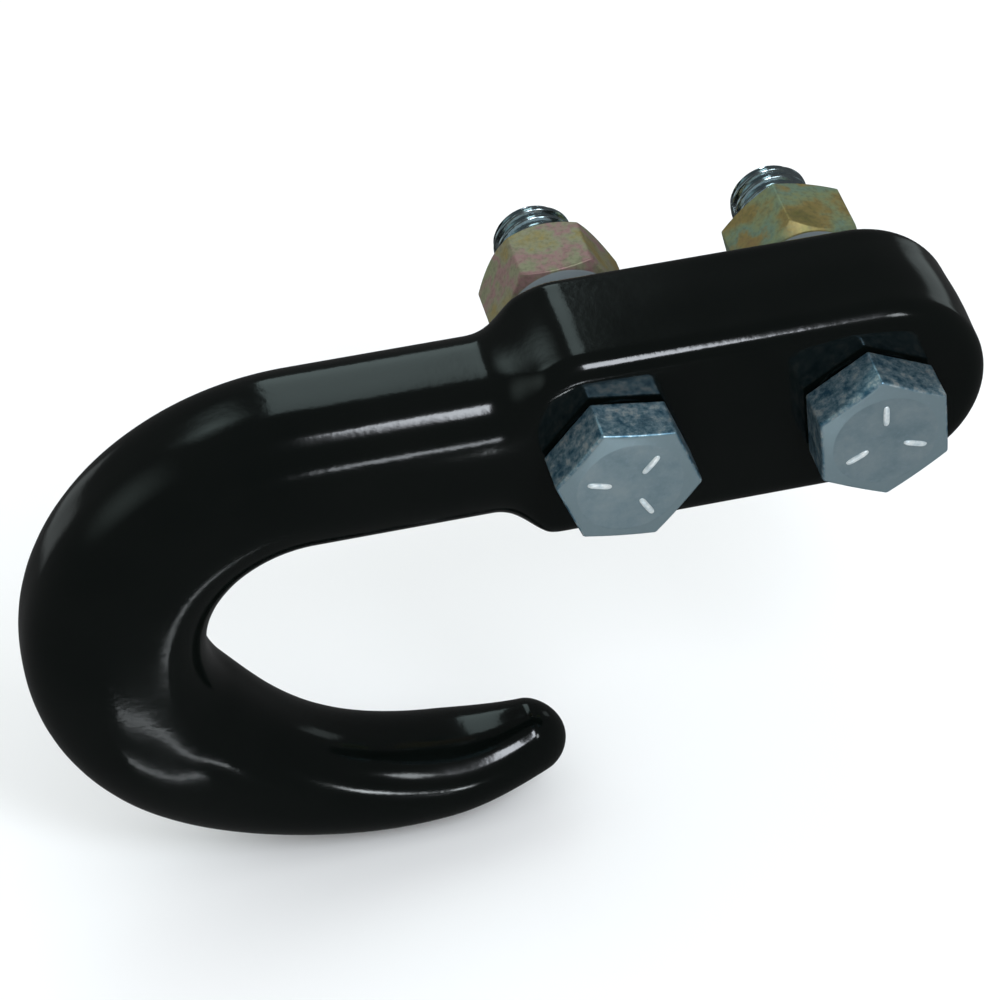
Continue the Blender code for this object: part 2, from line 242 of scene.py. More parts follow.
# %% How the section changes along the bar
FACE_POINTS, SIDE_POINTS, CORNER_POINTS = 25, 17, 12
BAR_ROWS = dict(neck=21, shank=15, bow=91, jaw=71, tip=19)
SIDE_CROWN = 0.25 * MM
ROUNDEST = 0.97  # the largest corner radius, as a share of half the section
SECTION_KNOTS = [NECK_LENGTH, BOW_START, BOW_START + 0.65 * (BOW_END - BOW_START), BOW_END,
                 (BOW_END + JAW_END) / 2, JAW_END]
HEIGHTS = np.array([24.6, 24.6, 27.6, 27.0, 17.8, 11.2]) * MM
POWERS = np.array([2.9, 2.9, 2.65, 2.6, 2.3, 2.1])
DEPTH_KNOTS = BOW_END + (JAW_END - BOW_END) * np.array([-0.5, 0.0, 0.28, 0.50, 0.70, 1.0, 1.2])
DEPTHS = np.array([22.2, 22.0, 20.0, 19.4, 18.9, 9.6, 2.0]) * MM
print(f"the bar is {HEIGHTS[0] / MM:.1f} mm high at the shank and {HEIGHTS[-1] / MM:.1f} mm at the tip")


# %% A rounded rectangle
def rounded_section(half_height, half_depth, radius):
    """A rounded rectangle as (height, depth): front face downwards, bottom side, back face, top side."""
    face = np.linspace(1, -1, FACE_POINTS)
    side = np.linspace(-1, 1, SIDE_POINTS)
    corner = np.linspace(0, math.pi / 2, CORNER_POINTS)[1:-1]
    flat_h, flat_d = half_height - radius, half_depth - radius
    crown = SIDE_CROWN * (1 - side**2) ** 2
    front = np.stack([flat_h * face, np.full(FACE_POINTS, -half_depth)], -1)
    low_front = np.stack([-flat_h - radius * np.sin(corner), -flat_d - radius * np.cos(corner)], -1)
    bottom = np.stack([-half_height - crown, flat_d * side], -1)
    low_back = np.stack([-flat_h - radius * np.cos(corner), flat_d + radius * np.sin(corner)], -1)
    half = np.concatenate([front, low_front, bottom, low_back])
    return np.concatenate([half, -half])


# %% The section at any distance
def half_heights(distance):
    """How far the bar reaches above and below its line: the neck comes in sooner on top than below."""
    neck = smoothstep(distance / NECK_LENGTH)
    low_neck = smoothstep((distance - LOW_NECK_START) / (NECK_LENGTH - LOW_NECK_START))
    half = smooth_curve(SECTION_KNOTS, HEIGHTS, distance) / 2
    top = (PAD_HEIGHT / 2 + PAD_RAISE) * (1 - neck) + (half - BAR_DROP) * neck
    bottom = (PAD_HEIGHT / 2 - PAD_RAISE) * (1 - low_neck) + (half + BAR_DROP) * low_neck
    return top, bottom


def bar_section(distance):
    """A rounded rectangle on the pad, which turns into the superellipse along the neck, and its rise."""
    top, bottom = half_heights(distance)
    height = top + bottom
    neck = smoothstep((distance - PAD_PART) / (NECK_LENGTH - PAD_PART))
    depth = smooth_curve(DEPTH_KNOTS, DEPTHS, distance)
    power = smooth_curve(SECTION_KNOTS, POWERS, distance)
    radius = PAD_EDGE_RADIUS + (BAR_EDGE_RADIUS - PAD_EDGE_RADIUS) * neck
    radius = min(radius, ROUNDEST * min(height, depth) / 2)
    outline = rounded_section(height / 2, depth / 2, radius)
    reach = (np.abs(outline) / np.array([height / 2, depth / 2])) ** power
    superellipse = outline * (reach.sum(-1) ** (-1 / power))[:, None]
    return outline + (superellipse - outline) * neck, (top - bottom) / 2


# %% The bar as a grid
def bar_grid():
    """Sections square across the middle line, from the neck to the tip, where they close to a point."""
    tip = np.linspace(math.pi / 2, 0, BAR_ROWS["tip"])
    distances = np.concatenate([
        np.linspace(PAD_PART, NECK_LENGTH, BAR_ROWS["neck"])[:-1],
        np.linspace(NECK_LENGTH, BOW_START, BAR_ROWS["shank"])[:-1],
        np.linspace(BOW_START, BOW_END, BAR_ROWS["bow"])[:-1],
        np.linspace(BOW_END, JAW_END - TIP_LENGTH, BAR_ROWS["jaw"])[:-1],
        JAW_END - TIP_LENGTH * (1 - np.cos(tip)),
    ])
    scales = np.concatenate([np.ones(len(distances) - len(tip)), np.sin(tip)])
    sections = []
    for distance, scale in zip(distances, scales):
        outline, rise = bar_section(distance)
        sections.append(outline * scale + np.array([rise, 0]))
    sections = np.array(sections)
    centres, headings = centreline(distances)
    across = np.stack([headings[:, 1], -headings[:, 0]], -1)
    flat = centres[:, None] + sections[..., :1] * across[:, None]
    points = np.stack([flat[..., 0], sections[..., 1] - PAD_THICKNESS / 2, flat[..., 1]], -1)
    return points.reshape(-1, 3), grid_triangles(*points.shape[:2])


# %% [markdown]
# ## The pad: an edge band, two faces and two bolt holes
#
# The pad could be cut with Booleans, but a Boolean leaves long thin triangles that catch the light. Here
# the pad is put together from grids instead. The rounded edge is the section's profile carried along the
# pad's outline, round its end. Each face is split in two, down the middle, and each half is a fan that
# runs from its bolt hole out to that outline. All the grids share the points along their common edges.

# %% Outline of the pad's flat face, shared by the band and the fans
FLAT_HALF = PAD_HEIGHT / 2 - PAD_EDGE_RADIUS
FLAT_TOP, FLAT_LOW = PAD_RAISE + FLAT_HALF, PAD_RAISE - FLAT_HALF
LEFT_POINTS, RIGHT_POINTS, END_POINTS = 33, 25, 49
left_x = np.linspace(NECK_START_X - PAD_PART, 0, LEFT_POINTS)
right_x = np.linspace(0, END_CENTRE_X, RIGHT_POINTS)
end_turn = np.linspace(math.pi / 2, -math.pi / 2, END_POINTS)
end_x = END_CENTRE_X + FLAT_HALF * np.cos(end_turn)
end_arc = np.stack([end_x, PAD_RAISE + FLAT_HALF * np.sin(end_turn)], -1)


def level_line(xs, z):
    """Points (x, z) that share one z."""
    return np.stack([xs, np.full(len(xs), z)], -1)


neck_top, neck_bottom = half_heights(NECK_START_X - left_x)
top_left = np.stack([left_x, neck_top - PAD_EDGE_RADIUS], -1)
low_left = np.stack([left_x, PAD_EDGE_RADIUS - neck_bottom], -1)
top_right, low_right = level_line(right_x, FLAT_TOP), level_line(right_x, FLAT_LOW)
upright_left = np.linspace(top_left[0], low_left[0], FACE_POINTS)
upright_middle = np.linspace(top_right[0], low_right[0], FACE_POINTS)
inner_outline = np.concatenate([top_left[:-1], upright_middle[:-1], low_left[:0:-1], upright_left[:0:-1]])
outer_outline = np.concatenate([top_right[:-1], end_arc[:-1], low_right[:0:-1], upright_middle[:0:-1]])
print("points round each half face:", len(inner_outline), len(outer_outline))


# %% The band round the pad's edge
def pad_band():
    """The section's bottom profile carried round the pad: place = outline + outwards * offset."""
    top = np.concatenate([top_left[:-1], top_right[:-1], end_arc[:-1]])
    outline = np.concatenate([top, low_right[:0:-1], low_left[::-1]])
    turn = np.concatenate([
        np.full(len(top_left) + len(top_right) - 2, math.pi / 2),
        end_turn[:-1],
        np.full(len(low_right) + len(low_left) - 1, -math.pi / 2),
    ])
    outwards = np.stack([np.cos(turn), np.sin(turn)], -1)
    profile = rounded_section(PAD_HEIGHT / 2, PAD_THICKNESS / 2, PAD_EDGE_RADIUS)
    profile = profile[FACE_POINTS - 1: len(profile) // 2 + 1]
    offset = -profile[:, 0] - FLAT_HALF
    flat = outline[:, None] + outwards[:, None] * offset[None, :, None]
    depth = np.broadcast_to(profile[:, 1] - PAD_THICKNESS / 2, flat.shape[:2])
    points = np.stack([flat[..., 0], depth, flat[..., 1]], -1)
    return points.reshape(-1, 3), grid_triangles(*points.shape[:2], ring=False)


# %% Faces and hole walls
HOLE_RADIUS = 7.15 * MM
HOLE_RIM = 0.5 * MM
FACE_ROWS, RIM_ROWS, WALL_ROWS = 12, 6, 9
FACE_CROWDING = 0.8  # below 1, a fan's rows lie closer together towards the outline


def face_and_hole(outline, side):
    """A sleeve round one bolt: in over the front face, down the hole's wall, and out over the back face.

    Each column is a ray from the hole's middle, and each row says how far out it is and how deep.
    """
    centre = np.array([side * BOLT_SPACING / 2, 0.0])
    arm = outline - centre
    reach = np.linalg.norm(arm, axis=1)
    ray = arm / reach[:, None]
    share = np.linspace(1, 0, FACE_ROWS) ** FACE_CROWDING
    rim = np.linspace(0, math.pi / 2, RIM_ROWS)[1:]
    outer = HOLE_RADIUS + HOLE_RIM
    face_out = outer + (reach[None] - outer) * share[:, None]
    rim_out = np.broadcast_to((outer - HOLE_RIM * np.sin(rim))[:, None], (len(rim), len(reach)))
    rim_deep = HOLE_RIM * (1 - np.cos(rim))
    wall = np.linspace(HOLE_RIM, PAD_THICKNESS - HOLE_RIM, WALL_ROWS)[1:-1]
    wall_out = np.full((len(wall), len(reach)), HOLE_RADIUS)
    radius = np.concatenate([face_out, rim_out, wall_out, rim_out[::-1], face_out[::-1]])
    depth = np.concatenate([
        np.zeros(len(share)), rim_deep, wall, PAD_THICKNESS - rim_deep[::-1],
        np.full(len(share), PAD_THICKNESS),
    ])
    depth = np.broadcast_to(depth[:, None], radius.shape) - PAD_THICKNESS
    flat = centre + ray[None] * radius[..., None]
    points = np.stack([flat[..., 0], depth, flat[..., 1]], -1)
    return points.reshape(-1, 3), grid_triangles(*points.shape[:2])


# %% The hook
hook = make_piece(
    "hook",
    [bar_grid(), pad_band(), face_and_hole(inner_outline, -1), face_and_hole(outer_outline, 1)],
    "hook", "hook_forging",
)

# %% [markdown]
# ## Hexagons that turn into circles
#
# A bolt is a hexagon at one end and a circle at the other, on one axis. So it is one grid: every row goes
# round the axis, and the columns are the same rays all the way down. Where the row is on the hexagon its
# radius follows the flats and their small round corners, and elsewhere it is the same all round. Any
# profile can then be written as pairs of radius and height, in which either may change with the ray.

# %% The hexagon
ACROSS_FLATS = 19.05 * MM
HEX_CORNER_ROUND = 0.45 * MM
FLAT_COLUMNS, ARC_COLUMNS = 17, 6
CORNER_CROWDING = 1.4  # above 1, a flat's columns lie closer together towards its corners


def hexagon(turn_degrees):
    """Angles and radii of a hexagon with round corners, whose first corner is at the given turn.

    One side runs along the flat, then round an arc about a point one corner radius inside both flats.
    """
    flat = ACROSS_FLATS / 2
    inset = (flat - HEX_CORNER_ROUND) * math.tan(math.pi / 6)
    along = np.linspace(-1, 1, FLAT_COLUMNS)
    along = inset * np.sign(along) * (1 - (1 - np.abs(along)) ** CORNER_CROWDING)
    side = np.stack([np.full(len(along), flat), along], -1)
    swing = np.linspace(0, math.pi / 3, ARC_COLUMNS)[1:-1]
    arc = np.stack([np.cos(swing), np.sin(swing)], -1) * HEX_CORNER_ROUND
    arc += np.array([flat - HEX_CORNER_ROUND, inset])
    outline = np.concatenate([side, arc])
    middle = math.radians(turn_degrees) + math.pi / 6 + np.arange(6)[:, None] * math.pi / 3
    angle = (np.arctan2(outline[:, 1], outline[:, 0]) + middle).ravel()
    return angle, np.tile(np.hypot(outline[:, 0], outline[:, 1]), 6)


print(f"across the corners: {2 * hexagon(0)[1].max() / MM:.2f} mm")

# %% The rounded profile, and its place in the frame
ROUND_ROWS = 5
LONGEST_CUT = 0.45  # of a side, so that the cuts at its two ends never meet
ROWS_BETWEEN = (0.06, 0.5, 0.94)  # the outer two stay by the round corners and keep the sides flat


def rounded_profile(corners, cuts, columns):
    """Rows of (radius, height) through the corners, each corner eased by a parabola between two cuts.

    A corner P with neighbours one cut away at A and B becomes (1-t)^2 A + 2t(1-t) P + t^2 B.
    """
    corners = [np.stack(np.broadcast_arrays(r, h, np.zeros(columns))[:2]) for r, h in corners]
    rows = [corners[0]]
    t = np.linspace(0, 1, ROUND_ROWS)[:, None, None]
    for before, corner, after, cut in zip(corners, corners[1:], corners[2:], cuts):
        back, forth = before - corner, after - corner
        a = corner + back * np.minimum(cut / np.linalg.norm(back, axis=0), LONGEST_CUT)
        b = corner + forth * np.minimum(cut / np.linalg.norm(forth, axis=0), LONGEST_CUT)
        last = rows[-1]
        rows += [last + (a - last) * share for share in ROWS_BETWEEN]
        rows += list((1 - t) ** 2 * a + 2 * t * (1 - t) * corner + t**2 * b)
    last = rows[-1]
    rows += [last + (corners[-1] - last) * share for share in (*ROWS_BETWEEN[:-1], 1.0)]
    return np.array(rows)


def stand(radius, height, angle, side):
    """Radius, height along +Y and angle in the upright plane, as a place in the frame."""
    x = side * BOLT_SPACING / 2 + radius * np.cos(angle)
    return np.stack([x, np.broadcast_to(height, radius.shape), radius * np.sin(angle)], -1)


# %% [markdown]
# ## The bolts
#
# The head's top is a flat disc inside the chamfer that takes off its six corners, and under the head is
# a thin round washer face. The thread is a single groove of 60 degrees that winds along the shank: its
# depth at any place follows from how far that place is from the groove's middle line. Rolled threads have
# slightly round crests and roots, and the groove fades out over a turn and a half into the plain shank.

# %% Bolt sizes and the places of the bolts
CREST = 6.3 * MM
PITCH = 25.4 / 13 * MM
ROOT = CREST - 0.65 * PITCH
HEAD_GAP, HEAD_HEIGHT = 0.3 * MM, 7.94 * MM
BOLT_LENGTH, PLAIN_LENGTH = 52.4 * MM, 19.05 * MM
HEAD_BEARING = -PAD_THICKNESS - HEAD_GAP
HEAD_TOP = HEAD_BEARING - HEAD_HEIGHT
BOLT_POINT = HEAD_BEARING + BOLT_LENGTH
THREAD_START = HEAD_BEARING + PLAIN_LENGTH
POINT_CHAMFER = 0.8 * MM
HEAD_TOP_RADIUS = ACROSS_FLATS / 2 - 1.625 * MM
HEAD_CHAMFER = 0.45 / 3.1  # its drop over its run
WASHER_FACE_RADIUS = ACROSS_FLATS / 2 - 0.475 * MM
WASHER_FACE_HEIGHT = 0.4 * MM
# Turns are in degrees, and the grip is the room between the pad's back and the nut.
PLACES = {
    "inner": dict(side=-1, head_turn=50.9, marks=(50.5, 163.5, -60.0),
                  grip=8.8 * MM, nut_turn=4.2, lock_out=True),
    "outer": dict(side=1, head_turn=34.5, marks=(91.5, -152.0, -18.0),
                  grip=8.0 * MM, nut_turn=43.7, lock_out=False),
}
print(f"pitch {PITCH / MM:.3f} mm, thread {(CREST - ROOT) / MM:.2f} mm deep")

# %% How deep the groove is at any place
THREAD_SLOPE = math.tan(math.radians(30))  # half the groove's angle


def groove_distance(angle, height):
    """Along the axis, how far a point is from the middle of the nearest turn of the groove."""
    turns = (height - THREAD_START) / PITCH + angle / (2 * math.pi)
    return np.abs(turns - np.round(turns)) * PITCH


def soft_limit(value, low, high, softness):
    """Keeps a value between two limits, easing into each over the softness: a smooth clip."""
    value = low + softness * np.logaddexp(0, (value - low) / softness)
    return high - softness * np.logaddexp(0, (high - value) / softness)


# %% The bolt's surface
HEAD_CUTS = np.array([0.15, 0.5, 0.3, 0.1, 0.15, 0.5]) * MM
ROWS_PER_TURN = 22
RUN_OUT = 1.5 * PITCH
ROOT_ROUND, THREAD_SOFTNESS = 0.12 * MM, 0.03 * MM
END_SHARES = np.array([0.97, 0.9, 0.5, 0.0])[:, None]
END_DROPS = np.array([0.05, 0.0, 0.0, 0.0])[:, None] * MM


def bolt_surface(spec):
    """Head, shank and threaded end as one grid of rings, closed to a point at both ends."""
    angle, hexagon_radius = hexagon(spec["head_turn"])
    underside = HEAD_BEARING - WASHER_FACE_HEIGHT
    head = rounded_profile(
        [
            (0, HEAD_TOP), (HEAD_TOP_RADIUS, HEAD_TOP),
            (hexagon_radius, HEAD_TOP + HEAD_CHAMFER * (hexagon_radius - HEAD_TOP_RADIUS)),
            (hexagon_radius, underside), (WASHER_FACE_RADIUS, underside),
            (WASHER_FACE_RADIUS, HEAD_BEARING), (CREST, HEAD_BEARING), (CREST, THREAD_START - PITCH),
        ],
        HEAD_CUTS, len(angle),
    )
    height = np.arange(THREAD_START - PITCH, BOLT_POINT, PITCH / ROWS_PER_TURN)[1:, None]
    away = groove_distance(angle[None], height)
    fade = smoothstep((height - THREAD_START + PITCH) / RUN_OUT)
    radius = soft_limit(ROOT + away / THREAD_SLOPE, ROOT + ROOT_ROUND, CREST, THREAD_SOFTNESS)
    radius = CREST + (radius - CREST) * fade
    radius = np.minimum(radius, CREST - POINT_CHAMFER + np.maximum(BOLT_POINT - height, 0))
    end = radius[-1:] * END_SHARES
    end_height = np.broadcast_to(BOLT_POINT - END_DROPS, end.shape)
    radius = np.concatenate([head[:, 0], radius, end])
    height = np.concatenate([head[:, 1], np.broadcast_to(height, away.shape), end_height])
    points = stand(radius, height, angle[None], spec["side"])
    return points.reshape(-1, 3), grid_triangles(*points.shape[:2])


bolts = {}
for place, spec in PLACES.items():
    bolt = f"{place}_bolt"
    bolts[place] = make_piece(f"{place}_bolt_finish", [bolt_surface(spec)], bolt, bolt)

# %% [markdown]
# ## The strength marks on the heads
#
# The strength grade of such a bolt is shown by three raised dashes, about a third of a turn apart. They
# stand only a third of a millimetre proud, yet they catch the light. Each is a small superellipsoid, half
# sunk in the head: along it, across it and out from it, place = size * cos or sin of two angles, each
# raised to its own power. Powers below 1 make the form full, with blunt ends.

# %% Raised dashes
MARK_MIDDLE = 4.75 * MM
MARK_LENGTH, MARK_WIDTH, MARK_HEIGHT = np.array([1.85, 0.46, 0.36]) * MM  # from the dash's middle
LENGTH_POWER, WIDTH_POWER, HEIGHT_POWER, NARROWING_POWER = 0.45, 0.8, 1.1, 0.7
MARK_ROWS, MARK_COLUMNS = 17, 40


def power_wave(wave, power):
    """A cosine or sine raised to a power that keeps its sign."""
    return np.sign(wave) * np.abs(wave) ** power


def raised_dash(turn_degrees, side):
    """A superellipsoid on the head's top, pointing away from the bolt's axis."""
    up = np.linspace(-math.pi / 2, math.pi / 2, MARK_ROWS)[:, None]
    around = np.linspace(0, 2 * math.pi, MARK_COLUMNS, endpoint=False)[None]
    reach = power_wave(np.cos(up), NARROWING_POWER)
    along = MARK_MIDDLE + MARK_LENGTH * reach * power_wave(np.cos(around), LENGTH_POWER)
    aside = MARK_WIDTH * reach * power_wave(np.sin(around), WIDTH_POWER)
    out = MARK_HEIGHT * power_wave(np.sin(up), HEIGHT_POWER) * np.ones_like(around)
    turn = math.radians(turn_degrees)
    x = side * BOLT_SPACING / 2 + along * math.cos(turn) - aside * math.sin(turn)
    z = along * math.sin(turn) + aside * math.cos(turn)
    points = np.stack([x, HEAD_TOP - out, z], -1)
    return points.reshape(-1, 3), grid_triangles(*points.shape[:2])


marks = {}
for place, spec in PLACES.items():
    dashes = [raised_dash(turn, spec["side"]) for turn in spec["marks"]]
    marks[place] = make_piece(f"{place}_bolt_marks", dashes, f"{place}_bolt")

# %% [markdown]
# ## The lock nuts
#
# Each nut is a ring, so its grid closes both ways: round the axis, and over the outside and back through
# the bore. One side is the locking side, with a deep chamfer that leaves high arcs on the flats. The inner
# nut has it outwards, the outer nut inwards. The thread in the bore is the bolt's ridge made larger by a
# small clearance, at the same pitch and phase, so the two wind through each other and never touch.

# %% Nut sizes
NUT_HEIGHT = 11.8 * MM
NUT_FACE_RADIUS = ACROSS_FLATS / 2 - 0.425 * MM
NUT_BORE = ROOT + 0.3 * PITCH
NUT_MAJOR = CREST + 0.3 * MM
NUT_SIDE_GAP = 0.18 * MM
COUNTERSINK = CREST + 0.5 * MM
LOCK_CHAMFER, PLAIN_CHAMFER = math.tan(math.radians(45)), math.tan(math.radians(25))
print(f"bore {2 * NUT_BORE / MM:.2f} mm, across the groove {2 * NUT_MAJOR / MM:.2f} mm")

# %% The nut's surface
NUT_CUT = 0.25 * MM
BORE_ROWS = 133


def nut_surface(spec):
    """Outer end face, chamfer, flats, chamfer, inner end face, then back up the threaded bore."""
    angle, hexagon_radius = hexagon(spec["nut_turn"])
    low = spec["grip"]
    high = low + NUT_HEIGHT
    out, back = (LOCK_CHAMFER, PLAIN_CHAMFER) if spec["lock_out"] else (PLAIN_CHAMFER, LOCK_CHAMFER)
    run = hexagon_radius - NUT_FACE_RADIUS
    outside = rounded_profile(
        [
            (COUNTERSINK, high), (NUT_FACE_RADIUS, high), (hexagon_radius, high - out * run),
            (hexagon_radius, low + back * run), (NUT_FACE_RADIUS, low), (COUNTERSINK, low),
        ],
        [NUT_CUT] * 4, len(angle),
    )
    height = np.linspace(low, high, BORE_ROWS)[1:-1, None]
    away = PITCH / 2 - groove_distance(angle[None], height)
    bore = ROOT + (PITCH / 2 + NUT_SIDE_GAP - away) / THREAD_SLOPE
    bore = soft_limit(bore, NUT_BORE, NUT_MAJOR, THREAD_SOFTNESS)
    bore = np.maximum(bore, COUNTERSINK - np.minimum(height - low, high - height))
    radius = np.concatenate([outside[:, 0], bore])
    height = np.concatenate([outside[:, 1], np.broadcast_to(height, bore.shape)])
    points = stand(radius, height, angle[None], spec["side"])
    return points.reshape(-1, 3), grid_triangles(*points.shape[:2], closed=True)


nuts = {}
for place, spec in PLACES.items():
    surface = nut_surface(spec)
    nuts[place] = make_piece(f"{place}_nut_finish", [surface], f"{place}_nut", f"{place}_lock_nut")

# %% [markdown]
# ## Finishes: how a material is put together here
#
# Each finish is a Principled shader fed by a few noise patterns. Image textures could do it too, but a
# pattern that is worked out has no seams and no size to run out of. The patterns read Object coordinates,
# so they stay on the metal when a bolt turns. A small helper adds a node and joins its inputs in one
# line, which keeps each recipe short enough to read.


# %% Material helpers
class Recipe:
    """A new material with its Principled shader and short ways to add and join nodes."""

    def __init__(self, name):
        self.material = bpy.data.materials.new(name)
        self.material.use_nodes = True
        self.tree = self.material.node_tree
        self.shader = self.tree.nodes["Principled BSDF"]
        self.coordinates = self.add("ShaderNodeTexCoord").outputs["Object"]

    def add(self, kind, settings=None, **inputs):
        """A node with its settings, and its inputs joined by name, in which _ stands for a space."""
        node = self.tree.nodes.new(kind)
        for key, value in (settings or {}).items():
            setattr(node, key, value)
        for key, value in inputs.items():
            self.join(node.inputs[key.replace("_", " ")], value)
        return node

    def join(self, socket, value):
        """Links another node's output to a socket, or writes a plain value into it."""
        if isinstance(value, bpy.types.NodeSocket):
            self.tree.links.new(value, socket)
        else:
            socket.default_value = value

    def noise(self, size, detail=3.0, roughness=0.55, shift=(0, 0, 0)):
        """Noise whose blotches are about size metres across, as a value round 0.5."""
        moved = self.add("ShaderNodeMapping", Vector=self.coordinates, Location=shift)
        return self.add("ShaderNodeTexNoise", Vector=moved.outputs["Vector"], Scale=1 / size,
                        Detail=detail, Roughness=roughness).outputs["Fac"]

    def spread(self, value, low, high, to_low=0.0, to_high=1.0):
        """Stretches the range low..high of a value to another range, and clips it there."""
        return self.add("ShaderNodeMapRange", Value=value, From_Min=low, From_Max=high,
                        To_Min=to_low, To_Max=to_high).outputs["Result"]

    def ramp(self, value, stops):
        """Colours read off a scale by a value from 0 to 1, with a stop for each (place, colour)."""
        node = self.add("ShaderNodeValToRGB", Fac=value)
        elements = node.color_ramp.elements
        while len(elements) < len(stops):
            elements.new(0.5)  # anywhere, as the loop below moves it
        for element, (place, colour) in zip(elements, stops):
            element.position, element.color = place, (*colour, 1)
        return node.outputs["Color"]

    def mix(self, kind, sockets, share, first, second):
        """The first at share 0, the second at 1. Its sockets are taken by number, as their names repeat."""
        node = self.add("ShaderNodeMix", dict(data_type=kind))
        for number, value in zip(sockets, (share, first, second)):
            self.join(node.inputs[number], value)
        return node

    def blend(self, share, first, second):
        """Mixes colours, with their alpha."""
        return self.mix("RGBA", (0, 6, 7), share, first, second).outputs[2]

    def mix_numbers(self, share, first, second):
        """Mixes plain numbers."""
        return self.mix("FLOAT", (0, 2, 3), share, first, second).outputs[0]

    def bump(self, height, distance, strength=1.0, normal=None):
        """Leans the normal as a relief of this height would, on top of another bump's normal if given."""
        node = self.add("ShaderNodeBump", Height=height, Distance=distance, Strength=strength)
        if normal:
            self.join(node.inputs["Normal"], normal)
        return node.outputs["Normal"]

    def facing_along_bolt(self, low, high):
        """1 on faces square to the bolt's axis and 0 on the others, by the size of the normal's Y."""
        normal = self.add("ShaderNodeNewGeometry").outputs["Normal"]
        parts = self.add("ShaderNodeSeparateXYZ", Vector=normal)
        size = self.add("ShaderNodeMath", dict(operation="ABSOLUTE"), Value=parts.outputs["Y"])
        return self.spread(size.outputs["Value"], low, high)

    def finish(self, **inputs):
        """Joins the shader's inputs by name and hands over the material."""
        for key, value in inputs.items():
            self.join(self.shader.inputs[key.replace("_", " ")], value)
        return self.material


# %% [markdown]
# ## Gloss black coat
#
# The hook is dipped or sprayed and baked. The coat is almost black with a breath of green, and thick
# enough to round what lies under it. Its gloss isn't perfect: it has the fine ripple called orange peel,
# over the slow waves of the forging. Real waves in the mesh would need far more points, so two bumps make
# these, and a slow change of roughness, the haze, keeps the reflections from being even.


# %% Recipe for the coat
PEEL_SIZE, WAVE_SIZE, HAZE_SIZE = 1.1 * MM, 13 * MM, 20 * MM
PEEL_HEIGHT, WAVE_HEIGHT = 0.014 * MM, 0.08 * MM
COAT_DARK, COAT_LIGHT = (0.0012, 0.0022, 0.0019, 1), (0.0022, 0.0032, 0.0028, 1)
COAT_ROUGHNESS = (0.10, 0.14)
MIDDLE_OF_NOISE = (0.3, 0.7)  # nearly all of a noise lies between these


def black_coat():
    """Base colour and roughness follow the haze, and the normal the peel on the waves."""
    recipe = Recipe("gloss black coat")
    peel = recipe.noise(PEEL_SIZE, detail=2.0)
    waves = recipe.noise(WAVE_SIZE, detail=2.0, shift=(0.3, 0.1, 0.2))
    haze = recipe.noise(HAZE_SIZE, detail=4.0, shift=(0.7, 0.4, 0.9))
    ripple = recipe.bump(peel, PEEL_HEIGHT)
    return recipe.finish(
        Base_Color=recipe.blend(recipe.spread(haze, *MIDDLE_OF_NOISE), COAT_DARK, COAT_LIGHT),
        Roughness=recipe.spread(haze, *MIDDLE_OF_NOISE, *COAT_ROUGHNESS),
        Normal=recipe.bump(waves, WAVE_HEIGHT, normal=ripple), IOR=1.5,
    )


hook.data.materials.append(black_coat())
print("the coat:", [node.name for node in hook.data.materials[0].node_tree.nodes][:4], "...")

# %% [markdown]
# ## Clear zinc
#
# The bolts carry bright zinc with a clear, slightly blue passivation, on steel that was cold headed and
# tumbled with many others. The head's top is chalky, in cloudy patches of grey, and its chamfer is a
# plain grey. The six sides are slicker and go from deep blue to nearly white. The rolled thread is the
# brightest. One recipe holds all of these, because one plating does, and masks choose between them: the
# direction a face looks, and how far along the bolt it lies. Fine dents from the tumbling are a cell
# pattern turned into bumps, with small specks over them.


# %% Recipe for clear zinc
CLOUD_SIZE, SPECK_SIZE, SMEAR_SIZE, DENT_SIZE = 4.5 * MM, 0.8 * MM, 1.6 * MM, 1.6 * MM
SPECK_HEIGHT, DENT_HEIGHT, DENT_STRENGTH = 0.02 * MM, 0.05 * MM, 0.6
TOP_GREYS = [(0.0, (0.155, 0.225, 0.255)), (0.45, (0.20, 0.27, 0.30)), (1.0, (0.245, 0.31, 0.335))]
SIDE_BLUES = [(0.0, (0.08, 0.22, 0.34)), (0.55, (0.36, 0.58, 0.70)), (1.0, (0.85, 0.97, 1.0))]
CHAMFER_GREY, SPECK_GREY = (0.215, 0.29, 0.32, 1), (0.26, 0.33, 0.40, 1)
THREAD_DIM, THREAD_BRIGHT = (0.42, 0.55, 0.60, 1), (0.75, 0.88, 0.92, 1)
HEAD_TO_THREAD = (-12 * MM, -8 * MM)  # inside the pad, where nobody sees the change
THREAD_ROUGHNESS = 0.16


